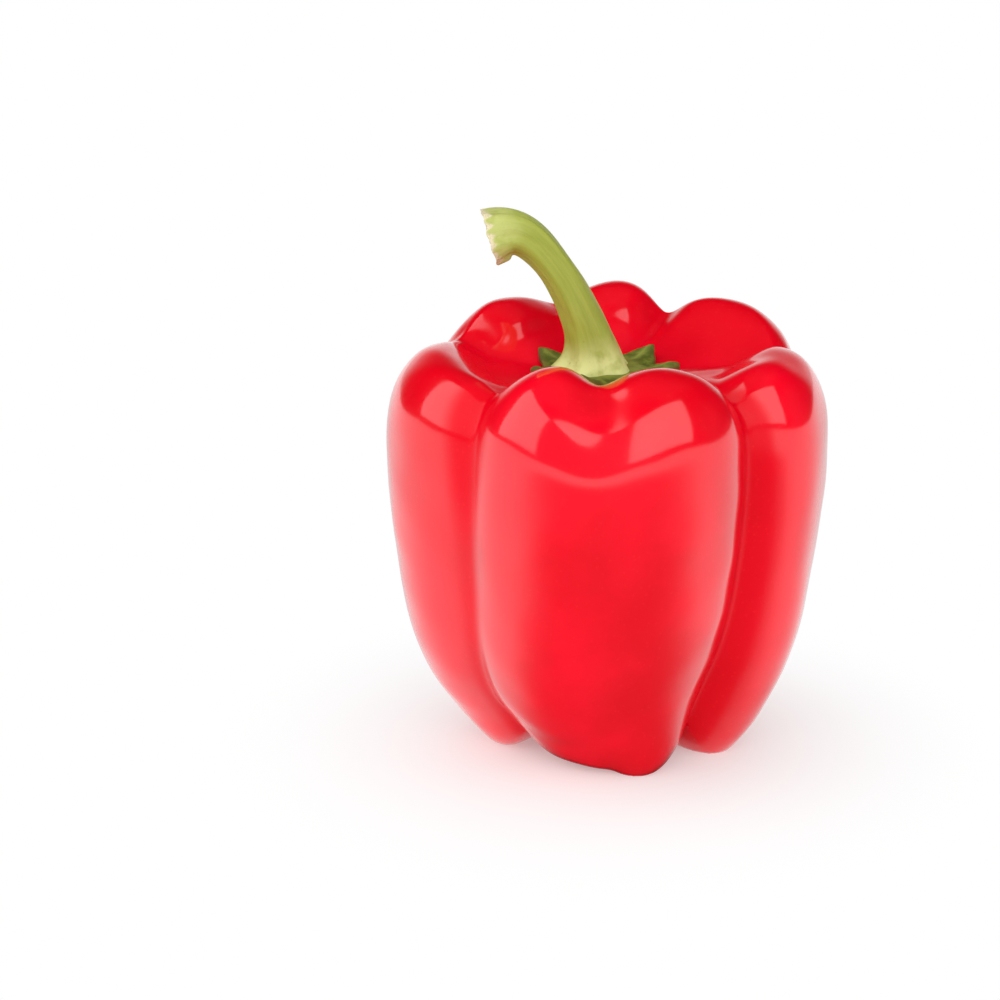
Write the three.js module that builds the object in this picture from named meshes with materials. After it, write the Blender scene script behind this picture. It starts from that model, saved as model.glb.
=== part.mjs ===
// A ripe red bell pepper, as picked, standing on the flat spots of its lobes.
//
// Three grown pieces: the hollow-topped fruit with its swollen lobes, the green calyx that lies in the
// hollow between the shoulders, and the curved stalk that rises from the calyx to its cut end.
// Millimetres, +Z up. The origin is the middle of the pepper's footprint, on the surface it stands on.
import * as THREE from "three";

// ---- Driving dimensions of the fruit -----------------------------------------------------------------
const SHOULDER_HEIGHT = 86; // crest of the shoulders above the surface
const CREST_RADIUS = 27.5; // ring that the shoulder crests stand on
const GIRTH_RADIUS = 43.2; // widest ring, just under the shoulders
const WAIST_RADIUS = 40; // ring at WAIST_HEIGHT
const WAIST_HEIGHT = 38;
const HIP_RADIUS = 33; // ring at HIP_HEIGHT, where the sides turn in
const HIP_HEIGHT = 14;
const FOOT_RADIUS = 18.5; // ring that the lobes stand on
const FOOT_PRESS = 2.4; // how far the rounded feet would reach under the surface, where they lie flat
const CAVITY_DEPTH = 10; // floor of the stalk hollow below the shoulder crests
const CAVITY_FLOOR_RADIUS = 11.6;
const BLOSSOM_RADIUS = 7.6; // ring where the hollow under the fruit levels out, between the feet
const BLOSSOM_DIP = 7.6; // height of that hollow

// ---- Driving dimensions of the calyx and the stalk ---------------------------------------------------
const SEAT_GAP = 0.3; // clearance between neighbouring pieces
const SEAT_RISE = 1; // how far the flat seat of the stalk stands above the calyx
const CALYX_SHIFT = -0.3; // the calyx stands a little to the left of the hollow's middle
const CALYX_RADIUS = 13.6;
const CALYX_THICKNESS = 1.5;
const CALYX_POINTS = 7;
const CALYX_POINT_DEPTH = 1.9; // how far the points stand out from the rim, and the hollows in from it
const CALYX_POINT_ANGLE = -6; // plan angle of one of the points, in degrees
const CALYX_EDGE_SHARPNESS = 4; // how late the plate thins out towards its rim
const CALYX_EDGE_FALL = [0.85, 1]; // share of the way to the rim over which the rise to the seat ends
const SEAT_SLOPE = 5.8; // width of the slope round the seat
const STALK_SHIFT = -2.3; // the stalk stands further to the left
const STALK_BASE_RADIUS = 7.8;
const STALK_RADIUS = 3.6;
const STALK_END_RADIUS = 5.4;
const STALK_HEIGHT = 26; // from the calyx to the middle of the cut end
const STALK_REACH = 20.2; // sideways, from the foot of the stalk to its cut end
const STALK_RIDGES = 5;
const STALK_RIDGE_DEPTH = 0.05; // share of the radius
const SEAT_HEIGHT = SHOULDER_HEIGHT - CAVITY_DEPTH + SEAT_GAP + CALYX_THICKNESS + SEAT_RISE;

// The stalk's bend: shares of its reach and of its height, and how far its radius lies from STALK_RADIUS.
const STALK_BEND = [
  [0, 0.12, 1.9],
  [0.04, 0.28, 0.9],
  [0.125, 0.46, 0.3],
  [0.26, 0.68, -0.1],
  [0.46, 0.9, -0.15],
  [0.72, 1.1, 0.5],
];
const STALK_END_RISE = 1.03; // share of the height at the cut end

// ---- The lobes: how far each one's sizes lie from the driving ones ----------------------------------
// angle is the plan angle of the lobe's middle, in degrees from +X towards +Y. lift raises its foot.
const LOBES = {
  frontLeft: { angle: -119, rise: 1.4, crest: -2.8, girth: -0.4, waist: 0, hip: -0.7, foot: -0.5, lift: 3.2 },
  frontRight: { angle: -64, rise: 0, crest: -0.9, girth: -0.9, waist: -0.6, hip: -3.6, foot: 0.6, lift: -1.1 },
  right: { angle: -13, rise: -4.8, crest: 2, girth: -0.4, waist: 2.3, hip: 3.6, foot: 5, lift: 0 },
  backRight: { angle: 29, rise: -0.9, crest: 6.6, girth: 5, waist: 2.5, hip: 0.8, foot: 1.5, lift: 0 },
  back: { angle: 91, rise: 2.9, crest: 0, girth: -1.4, waist: -1, hip: -1.5, foot: -0.5, lift: 0 },
  backLeft: { angle: 119, rise: 2.2, crest: -2.6, girth: -5.2, waist: -1, hip: -0.5, foot: 0.5, lift: 0 },
  left: { angle: 193, rise: -3.6, crest: 1.9, girth: -0.5, waist: 1, hip: 2.2, foot: 1, lift: 0.3 },
};
const LOBE_SHARPNESS = 9; // how quickly one lobe's sizes give way to the next one's

// Deep grooves between the four main lobes, with their depth at the shoulder crest, the side and the foot.
const GROOVES = [
  { topAngle: -134, baseAngle: -144, crest: 7.6, side: 4.8, foot: 5.7 },
  { topAngle: -39, baseAngle: -36, crest: 8, side: 8.5, foot: 9.5 },
  { topAngle: 16, baseAngle: 20, crest: 6.7, side: 5.7, foot: 6.7 },
  { topAngle: 106, baseAngle: 110, crest: 5.2, side: 4.8, foot: 6.7 },
];
const LOBE_FULLNESS = 3.3; // exponent of a lobe's outline between its grooves; 2 is an arc, more is squarer
const GROOVE_SOFTNESS = 0.2; // share of a groove's depth that rounds its bottom

// Shallow folds that split the shoulder of a main lobe.
const FOLDS = [
  { topAngle: -94, baseAngle: -84, width: 13, crest: 4.6, side: 0, foot: 1.9 },
  { topAngle: 65, baseAngle: 65, width: 9, crest: 6.5, side: 0.6, foot: 0 },
  { topAngle: 156, baseAngle: 160, width: 13, crest: 4.6, side: 1.4, foot: 0 },
];
const FOLD_SHARPNESS = 1.8; // how quickly a fold fades to either side
const FOLD_SOFTNESS = 0.6; // share of a fold's width that rounds its bottom

// Spans of the outline over which the depths of a groove or fold come and go, and its angle drifts.
const CREST_COMES = [1.5, 5];
const GROOVE_CREST_GOES = [6, 9.5];
const FOLD_CREST_GOES = [6, 8];
const SIDE_COMES = [6, 9.5];
const FOOT_COMES = [11, 14];
const FOOT_GOES = [15, 18];
const ANGLE_DRIFTS = [7, 15];
const HOLLOW_SPANS = [1, 6]; // part of the outline that lies in the stalk hollow

// How far [out, up] the handles of the outline stand off its rings, to round it off as grown.
const STANDOFF = {
  cavityEdge: [0, 1],
  cavityWall: [1.4, -0.6],
  crestInside: [-5.4, -2.9],
  crest: [1, 1.4],
  crestOutside: [1, 0.5],
  shoulder: [0.5, -7.6],
  girth: [1, -21],
  side: [0.8, -11.5],
  thigh: [1.4, 0],
  footOutside: [8, 4.8],
  foot: [3.3, -1.4],
  footInside: [-2.8, -FOOT_PRESS],
};

// ---- Mesh fineness -----------------------------------------------------------------------------------
const FRUIT_AROUND = 72;
const FRUIT_RINGS = 48;
const CALYX_AROUND = 48;
const CALYX_RINGS = 14;
const STALK_AROUND = 20;
const STALK_RINGS = 30;
const HALVINGS = 16; // steps of the search for the hollow's height

// ---- Finishes ----------------------------------------------------------------------------------------
const FINISHES = {
  fruit: { color: 0xe6031f, roughness: 0.22 },
  calyx: { color: 0x4f6f1e, roughness: 0.6 },
  stem: { color: 0xa3ad4c, roughness: 0.5 },
};

const radians = THREE.MathUtils.degToRad;
const FULL_TURN = 2 * Math.PI;

// The angle's remainder, from 0 to a full turn.
function turned(angle) {
  return THREE.MathUtils.euclideanModulo(angle, FULL_TURN);
}

// 0 below the stretch, 1 above it, and a smooth rise over it.
function ramp(x, [from, to]) {
  return THREE.MathUtils.smoothstep(x, from, to);
}

// How high a rise from 0 to 1 stands once its start is rounded off by softness.
function softened(value, softness) {
  return (Math.hypot(value, softness) - softness) / (Math.hypot(1, softness) - softness);
}

// Place and direction on a uniform cubic B-spline. s counts spans: it runs from 0 to handles.length - 3.
function spline(handles, s) {
  const span = Math.min(Math.floor(s), handles.length - 4);
  const f = s - span;
  const weights = [(1 - f) ** 3, 3 * f ** 3 - 6 * f ** 2 + 4, -3 * f ** 3 + 3 * f ** 2 + 3 * f + 1, f ** 3];
  const slopes = [-3 * (1 - f) ** 2, 9 * f ** 2 - 12 * f, -9 * f ** 2 + 6 * f + 3, 3 * f ** 2];
  const mixed = (factors, axis) => factors.reduce((sum, w, k) => sum + (w * handles[span + k][axis]) / 6, 0);
  const mix = (factors) => handles[0].map((_, axis) => mixed(factors, axis));
  return { at: mix(weights), towards: mix(slopes) };
}

// The sizes of the fruit at a plan angle: each lobe's own, weighted by how near its middle is.
function lobeSizes(angle) {
  const mean = { rise: 0, crest: 0, girth: 0, waist: 0, hip: 0, foot: 0, lift: 0 };
  let total = 0;
  for (const lobe of Object.values(LOBES)) {
    const weight = Math.exp(LOBE_SHARPNESS * (Math.cos(angle - radians(lobe.angle)) - 1));
    total += weight;
    for (const key in mean) mean[key] += weight * lobe[key];
  }
  for (const key in mean) mean[key] /= total;
  return mean;
}

// Handles [radius, height] of the fruit's outline at a plan angle, from the middle of the stalk hollow
// over the shoulder, down the side, round the foot and into the hollow underneath.
function outline(angle) {
  const own = lobeSizes(angle);
  const floor = SHOULDER_HEIGHT - CAVITY_DEPTH;
  const top = SHOULDER_HEIGHT + own.rise;
  const cavity = [CAVITY_FLOOR_RADIUS, floor];
  const crest = [CREST_RADIUS + own.crest, top];
  const girth = [GIRTH_RADIUS + own.girth, top];
  const waist = [WAIST_RADIUS + own.waist, WAIST_HEIGHT];
  const hip = [HIP_RADIUS + own.hip, HIP_HEIGHT];
  const foot = [FOOT_RADIUS + own.foot, own.lift];
  const off = ([radius, height], [out, up]) => [radius + out, height + up];
  const midway = (a, b) => [(a[0] + b[0]) / 2, (a[1] + b[1]) / 2];
  return [
    [-CAVITY_FLOOR_RADIUS / 2, floor],
    [0, floor],
    [CAVITY_FLOOR_RADIUS / 2, floor],
    off(cavity, STANDOFF.cavityEdge),
    off(midway(cavity, crest), STANDOFF.cavityWall),
    off(crest, STANDOFF.crestInside),
    off(crest, STANDOFF.crest),
    off(midway(crest, girth), STANDOFF.crestOutside),
    off(girth, STANDOFF.shoulder),
    off(girth, STANDOFF.girth),
    off(midway(girth, waist), STANDOFF.side),
    waist,
    off(midway(waist, hip), STANDOFF.thigh),
    hip,
    off(foot, STANDOFF.footOutside),
    off(foot, STANDOFF.foot),
    off(foot, STANDOFF.footInside),
    [BLOSSOM_RADIUS, (own.lift + BLOSSOM_DIP) / 2],
    [BLOSSOM_RADIUS / 2, BLOSSOM_DIP],
    [0, BLOSSOM_DIP],
    [-BLOSSOM_RADIUS / 2, BLOSSOM_DIP],
  ];
}
const OUTLINE_SPANS = outline(0).length - 3;

// Depth at s of a groove or fold whose crest depth goes over the stretch crestGoes.
function depthAt(furrow, s, crestGoes) {
  const crest = ramp(s, CREST_COMES) * (1 - ramp(s, crestGoes));
  const side = ramp(s, SIDE_COMES) * (1 - ramp(s, FOOT_COMES));
  const foot = ramp(s, FOOT_COMES) * (1 - ramp(s, FOOT_GOES));
  return furrow.crest * crest + furrow.side * side + furrow.foot * foot;
}

// Plan angle at s of a groove or fold, which drifts from its top angle to its base angle.
function driftedAngle(furrow, s) {
  return radians(furrow.topAngle + (furrow.baseAngle - furrow.topAngle) * ramp(s, ANGLE_DRIFTS));
}

// How far the grooves before and after a plan angle draw the skin in, on either side of a swollen lobe.
function grooveDepth(angle, s) {
  const starts = GROOVES.map((groove) => turned(angle - driftedAngle(groove, s)));
  const k = starts.indexOf(Math.min(...starts));
  const [before, after] = [GROOVES[k], GROOVES[(k + 1) % GROOVES.length]];
  const width = turned(driftedAngle(after, s) - driftedAngle(before, s));
  const side = (2 * starts[k]) / width - 1; // -1 in the groove before the lobe, 1 in the one after it
  const swell = softened(1 - Math.abs(side) ** LOBE_FULLNESS, GROOVE_SOFTNESS);
  return depthAt(side < 0 ? before : after, s, GROOVE_CREST_GOES) * (1 - swell);
}

// How far one fold draws the skin in.
function foldDepth(fold, angle, s) {
  const off = turned(angle - driftedAngle(fold, s) + Math.PI) - Math.PI;
  const away = Math.hypot(off / radians(fold.width), FOLD_SOFTNESS) - FOLD_SOFTNESS;
  return depthAt(fold, s, FOLD_CREST_GOES) * Math.exp(-FOLD_SHARPNESS * away);
}

// Radius and height of the skin. It lies in from the outline, and flat where the feet are pressed.
function skinProfile(angle, s) {
  const { at, towards } = spline(outline(angle), s);
  const sunk = FOLDS.reduce((sum, fold) => sum + foldDepth(fold, angle, s), grooveDepth(angle, s));
  const depth = sunk / Math.hypot(...towards);
  return [at[0] + towards[1] * depth, Math.max(at[1] - towards[0] * depth, 0)];
}

// Height of the skin in the stalk hollow over a plan point, found by halving the spans.
function hollowHeight(x, y) {
  const angle = Math.atan2(y, x);
  let [low, high] = HOLLOW_SPANS;
  for (let halving = 0; halving < HALVINGS; halving++) {
    const s = (low + high) / 2;
    if (skinProfile(angle, s)[0] < Math.hypot(x, y)) low = s;
    else high = s;
  }
  return skinProfile(angle, low)[1];
}

// A closed surface made from a sphere: place(u, v) gives the point for each of its vertices, with u going
// once round from 0 to 1 and v from the top pole, 0, to the bottom pole, 1.
function closedSurface(around, rings, place) {
  const geometry = new THREE.SphereGeometry(1, around, rings);
  const { position, uv } = geometry.attributes;
  for (let i = 0; i < position.count; i++) {
    const point = place(uv.getX(i) % 1, 1 - uv.getY(i));
    position.setXYZ(i, point.x, point.y, point.z);
  }
  geometry.computeVertexNormals();
  return geometry;
}

function makeFruit() {
  return closedSurface(FRUIT_AROUND, FRUIT_RINGS, (u, v) => {
    const angle = u * FULL_TURN;
    const [radius, height] = skinProfile(angle, v * OUTLINE_SPANS);
    return new THREE.Vector3(radius * Math.cos(angle), radius * Math.sin(angle), height);
  });
}

// The calyx: a pointed plate that follows the floor of the hollow, with a flat seat for the stalk.
function makeCalyx() {
  return closedSurface(CALYX_AROUND, CALYX_RINGS, (u, v) => {
    const angle = u * FULL_TURN;
    const share = 1 - Math.abs(2 * v - 1); // 0 in the middle, 1 at the rim
    const points = Math.cos(CALYX_POINTS * (angle - radians(CALYX_POINT_ANGLE)));
    const radius = share * (CALYX_RADIUS + CALYX_POINT_DEPTH * points);
    const x = CALYX_SHIFT + radius * Math.cos(angle);
    const y = radius * Math.sin(angle);
    const under = hollowHeight(x, y) + SEAT_GAP;
    if (v > 0.5) return new THREE.Vector3(x, y, under);
    const over = under + CALYX_THICKNESS * Math.sqrt(1 - share ** CALYX_EDGE_SHARPNESS);
    const fromStalk = Math.hypot(x - STALK_SHIFT, y);
    const seat = 1 - ramp(fromStalk, [STALK_BASE_RADIUS, STALK_BASE_RADIUS + SEAT_SLOPE]);
    const seated = seat * (1 - ramp(share, CALYX_EDGE_FALL));
    return new THREE.Vector3(x, y, over + (SEAT_HEIGHT - over) * seated);
  });
}

// Handles [x, z, radius] of the stalk: upright on its seat, then leaning over to the cut end.
function stalkHandles() {
  const foot = SEAT_HEIGHT + SEAT_GAP;
  const bend = [
    [0, 0, STALK_BASE_RADIUS],
    ...STALK_BEND.map(([out, up, wider]) => [out, up, STALK_RADIUS + wider]),
    [1, STALK_END_RISE, STALK_END_RADIUS],
  ].map(([out, up, radius]) => [STALK_SHIFT - STALK_REACH * out, foot + STALK_HEIGHT * up, radius]);
  const beyond = (end, next) => end.map((value, axis) => 2 * value - next[axis]);
  return [beyond(bend[0], bend[1]), ...bend, beyond(bend.at(-1), bend.at(-2))];
}

// The stalk: a capped cylinder bent along its handles, with lengthwise ridges.
function makeStalk() {
  const handles = stalkHandles();
  const geometry = new THREE.CylinderGeometry(1, 1, 1, STALK_AROUND, STALK_RINGS);
  const { position } = geometry.attributes;
  const across = new THREE.Vector3(0, 1, 0);
  for (let i = 0; i < position.count; i++) {
    const [x, y, z] = [position.getX(i), position.getY(i), position.getZ(i)];
    const { at, towards } = spline(handles, (y + 0.5) * (handles.length - 3));
    const along = new THREE.Vector3(towards[0], 0, towards[1]).normalize();
    const ridge = 1 + STALK_RIDGE_DEPTH * Math.cos(STALK_RIDGES * Math.atan2(z, x));
    const point = new THREE.Vector3(at[0], 0, at[1])
      .addScaledVector(new THREE.Vector3().crossVectors(along, across), x * at[2] * ridge)
      .addScaledVector(across, z * at[2] * ridge);
    position.setXYZ(i, point.x, point.y, point.z);
  }
  geometry.computeVertexNormals();
  return geometry;
}

function piece(name, geometry) {
  const mesh = new THREE.Mesh(geometry, new THREE.MeshStandardMaterial(FINISHES[name]));
  mesh.name = name;
  return mesh;
}

const grown = new THREE.Group();
grown.add(piece("fruit", makeFruit()), piece("calyx", makeCalyx()), piece("stem", makeStalk()));

// Puts the middle of the footprint at the origin.
const extent = new THREE.Box3().setFromObject(grown);
const middle = extent.getCenter(new THREE.Vector3());
grown.position.set(-middle.x, -middle.y, -extent.min.z);

const pepper = new THREE.Group();
pepper.add(grown);
export default pepper;
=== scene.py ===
"""A ripe red bell pepper, standing on its lobes under soft studio light.

The pepper is three grown pieces: the lobed fruit, the calyx in the hollow between its shoulders, and the
curved stalk with its cut end. Shapes are worked out in millimetres and put into meshes in metres.
"""
import logging
import math
from dataclasses import dataclass, field, fields
from enum import Enum
from typing import ClassVar

import bpy
import numpy as np
from mathutils import Matrix, Vector


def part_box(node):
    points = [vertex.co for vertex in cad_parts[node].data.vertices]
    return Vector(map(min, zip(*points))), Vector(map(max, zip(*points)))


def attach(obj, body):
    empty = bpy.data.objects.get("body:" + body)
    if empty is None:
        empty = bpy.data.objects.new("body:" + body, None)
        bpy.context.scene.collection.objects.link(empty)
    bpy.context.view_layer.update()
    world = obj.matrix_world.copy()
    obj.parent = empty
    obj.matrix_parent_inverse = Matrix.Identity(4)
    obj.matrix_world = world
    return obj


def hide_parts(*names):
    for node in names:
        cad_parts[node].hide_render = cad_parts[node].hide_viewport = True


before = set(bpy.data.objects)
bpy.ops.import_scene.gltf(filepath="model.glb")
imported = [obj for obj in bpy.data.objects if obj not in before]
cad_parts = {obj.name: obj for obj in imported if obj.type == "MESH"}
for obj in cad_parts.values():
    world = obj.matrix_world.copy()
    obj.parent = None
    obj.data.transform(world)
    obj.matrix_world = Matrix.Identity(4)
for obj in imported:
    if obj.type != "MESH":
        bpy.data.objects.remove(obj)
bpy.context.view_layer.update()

LOG = logging.getLogger("bell_pepper")
MM = 0.001  # metres in a millimetre
WAVES_ROUND = (1, 7)  # waves in a turn: at least the first number, and fewer than the second
WAVES_ALONG = (0.6, 4)  # rates of the waves along a piece
Array = np.ndarray
Colour = tuple[float, float, float]
Place = tuple[float, float, float]
Stretch = tuple[float, float]
Socket = bpy.types.NodeSocket


# ---- Curves and grids --------------------------------------------------------------------------------
def ramp(x: Array, start: float | Array, end: float | Array) -> Array:
    """Smooth step: 0 below start, 1 above end, and 3t^2 - 2t^3 between them.

    Args:
        x: Where to read it.
        start: Where the rise begins.
        end: Where the rise ends.

    Returns:
        Values from 0 to 1.
    """
    t = np.clip((x - start) / (end - start), 0, 1)
    return t * t * (3 - 2 * t)


def spline(handles: Array, s: Array) -> tuple[Array, Array]:
    """Uniform cubic B-spline: each point is the weighted mean of the four handles round its span.

    Args:
        handles: One row for each handle, each row broadcasting with s.
        s: Place along the curve, counted in spans.

    Returns:
        The values at s, and their slopes with respect to s.
    """
    span = np.clip(np.floor(s).astype(int), 0, len(handles) - 4)
    f = s - span
    rows = np.broadcast_to(handles, (len(handles),) + s.shape)
    near = [np.take_along_axis(rows, (span + k)[None], axis=0)[0] for k in range(4)]
    weights = ((1 - f) ** 3, 3 * f**3 - 6 * f**2 + 4, -3 * f**3 + 3 * f**2 + 3 * f + 1, f**3)
    slopes = (-3 * (1 - f) ** 2, 9 * f**2 - 12 * f, -9 * f**2 + 6 * f + 3, 3 * f**2)
    value = sum(w * h for w, h in zip(weights, near)) / 6
    slope = sum(w * h for w, h in zip(slopes, near)) / 6
    return value, slope


def waves(a: Array, b: Array, seed: int, count: int = 9) -> Array:
    """Smooth irregular swells: a sum of sine waves of whole frequency round a, with seeded phases.

    Args:
        a: Angle round the piece, in radians.
        b: Place along the piece, in radians of a wave whose rate is 1.
        seed: Picks the waves, the same ones each run.
        count: How many waves are added.

    Returns:
        Values of about -1 to 1.
    """
    pick = np.random.default_rng(seed)
    total = np.zeros(np.broadcast(a, b).shape)
    for _ in range(count):
        around, along = pick.integers(*WAVES_ROUND), pick.uniform(*WAVES_ALONG)
        round_it = np.sin(around * a + pick.uniform(0, math.tau))
        total = total + round_it * np.sin(along * b + pick.uniform(0, math.tau))
    return total / math.sqrt(count)


def grid(first: Array, second: Array) -> tuple[Array, Array]:
    """Spreads two rows of values into a grid, the first one along it and the second one round it."""
    rows, columns = np.broadcast_arrays(first[:, None], second[None, :])
    return rows, columns


def full_turn(count: int) -> Array:
    """Angles once round, in radians, without the last one, which is the first one again."""
    return np.linspace(0, math.tau, count, endpoint=False)


def closed_grid(name: str, points: Array, **layers: Array) -> bpy.types.Object:
    """Skins a grid of points, closed round its columns, with its first and last rows drawn to a point.

    Args:
        name: Name of the new object.
        points: Rows by columns by xyz, in millimetres. Rows run along the piece and columns round it.
        layers: Values for each grid point, kept as the mesh's attributes.

    Returns:
        The new object, with smooth faces that point outwards.
    """
    rows, columns = points.shape[:2]
    top = points[:1, 0]
    bottom = points[-1:, 0]
    ring = points[1:-1].reshape(-1, 3)
    index = 1 + np.arange((rows - 2) * columns).reshape(rows - 2, columns)
    after = np.roll(index, -1, axis=1)
    last = 1 + ring.shape[0]
    quads = np.stack([index[:-1], index[1:], after[1:], after[:-1]], axis=-1).reshape(-1, 4)
    cap = np.stack([np.zeros(columns, int), index[0], after[0]], axis=-1)
    base = np.stack([index[-1], np.full(columns, last), after[-1]], axis=-1)
    corners = np.concatenate([cap.ravel(), quads.ravel(), base.ravel()])
    counts = np.concatenate([np.full(columns, 3), np.full(len(quads), 4), np.full(columns, 3)])
    mesh = bpy.data.meshes.new(name)
    mesh.vertices.add(last + 1)
    mesh.vertices.foreach_set("co", (np.concatenate([top, ring, bottom]) * MM).ravel())
    mesh.loops.add(len(corners))
    mesh.loops.foreach_set("vertex_index", corners)
    mesh.polygons.add(len(counts))
    mesh.polygons.foreach_set("loop_start", np.concatenate([[0], np.cumsum(counts)[:-1]]))
    mesh.update(calc_edges=True)
    for layer, values in layers.items():
        flat = np.concatenate([values[0, :1], values[1:-1].ravel(), values[-1, :1]])
        mesh.attributes.new(layer, "FLOAT", "POINT").data.foreach_set("value", flat.astype(np.float32))
    mesh.shade_smooth()
    piece = bpy.data.objects.new(name, mesh)
    bpy.context.collection.objects.link(piece)
    return piece


# ---- Finishes ----------------------------------------------------------------------------------------
class Pattern:
    """A material's node tree, with a short method for each kind of node that the finishes use."""

    def __init__(self, name: str, tree: bpy.types.NodeTree | None = None) -> None:
        """Starts a material that holds one Principled shader, or takes over a tree that isn't a material's.

        Args:
            name: Name of the material.
            tree: The tree to work on, where it isn't a new material's.
        """
        if tree is None:
            self.material = bpy.data.materials.new(name)
            self.material.use_nodes = True
            tree = self.material.node_tree
        self.tree = tree
        self.shader = tree.nodes.get("Principled BSDF")

    def node(self, kind: str, inputs: dict[str | int, object], **settings: object) -> bpy.types.Node:
        """Adds a node.

        Args:
            kind: Blender's name for the node's type, without "ShaderNode".
            inputs: Socket name or number to a value, or to the socket that feeds it.
            settings: The node's own properties.

        Returns:
            The node.
        """
        made = self.tree.nodes.new("ShaderNode" + kind)
        for key, value in settings.items():
            setattr(made, key, value)
        for key, value in inputs.items():
            self.feed(made.inputs[key], value)
        return made

    def feed(self, socket: Socket, value: object) -> None:
        """Links a socket to a feeding socket, or sets its value."""
        if isinstance(value, Socket):
            self.tree.links.new(value, socket)
        else:
            socket.default_value = value

    def place(self) -> Socket:
        """The place on the piece, in metres."""
        return self.node("TexCoord", {}).outputs["Object"]

    def layer(self, name: str) -> Socket:
        """The value of one of the mesh's own layers."""
        return self.node("Attribute", {}, attribute_name=name).outputs["Fac"]

    def noise(self, at: Socket, scale: float, detail: float = 3, roughness: float = 0.5) -> Socket:
        """Cloudy noise.

        Args:
            at: Where to read it.
            scale: Clouds in a metre.
            detail: How many finer layers it has.
            roughness: How strong the finer layers are.

        Returns:
            The socket of its value, from 0 to 1.
        """
        inputs = {"Vector": at, "Scale": scale, "Detail": detail, "Roughness": roughness}
        return self.node("TexNoise", inputs).outputs["Fac"]

    def cells(self, at: Socket, scale: float) -> Socket:
        """Distance to the nearest of a cloud of points, with about scale points in a metre."""
        return self.node("TexVoronoi", {"Vector": at, "Scale": scale}).outputs["Distance"]

    def between(self, value: Socket, low: float, high: float, start: float = 0, end: float = 1) -> Socket:
        """Maps a value smoothly, without passing either end.

        Args:
            value: The socket of the value.
            low: The value that gives start.
            high: The value that gives end.
            start: What low and anything below it gives.
            end: What high and anything above it gives.

        Returns:
            The socket of the result.
        """
        inputs = {"Value": value, "From Min": low, "From Max": high, "To Min": start, "To Max": end}
        return self.node("MapRange", inputs, interpolation_type="SMOOTHSTEP").outputs[0]

    def times(self, a: Socket, b: Socket | float) -> Socket:
        """The product of two values."""
        return self.node("Math", {0: a, 1: b}, operation="MULTIPLY").outputs[0]

    def plus(self, a: Socket, b: Socket | float) -> Socket:
        """The sum of two values."""
        return self.node("Math", {0: a, 1: b}, operation="ADD").outputs[0]

    def tint(self, share: Socket, base: Colour | Socket, over: Colour | Socket) -> Socket:
        """Lays one colour over another.

        Args:
            share: How much of over shows.
            base: Colour, or the socket of one.
            over: Colour, or the socket of one.

        Returns:
            The socket of the mixed colour.
        """
        mixer = self.node("Mix", {"Factor": share}, data_type="RGBA")
        for socket, colour in zip((end for end in mixer.inputs if end.type == "RGBA"), (base, over)):
            self.feed(socket, (*colour, 1) if isinstance(colour, tuple) else colour)
        return next(out for out in mixer.outputs if out.type == "RGBA")

    def relief(self, height: Socket, depth: float, strength: float, over: Socket | None = None) -> Socket:
        """Turns heights of 0 to 1 into relief.

        Args:
            height: The socket of the heights.
            depth: Depth of the relief, in millimetres.
            strength: Share of it that shows.
            over: Normals of the relief that this one lies on, if any.

        Returns:
            The socket of the normals.
        """
        inputs = {"Height": height, "Distance": depth * MM, "Strength": strength}
        if over is not None:
            inputs["Normal"] = over
        return self.node("Bump", inputs).outputs[0]

    def dress(self, **sockets: object) -> bpy.types.Material:
        """Sets the shader's sockets, and gives back the material.

        Args:
            sockets: The name of each socket, in small letters and with _ for a space, to its value.

        Returns:
            The material.
        """
        for name, value in sockets.items():
            label = name.replace("_", " ").title().replace("Ior", "IOR")
            self.feed(self.shader.inputs[label], value)
        return self.material


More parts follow.
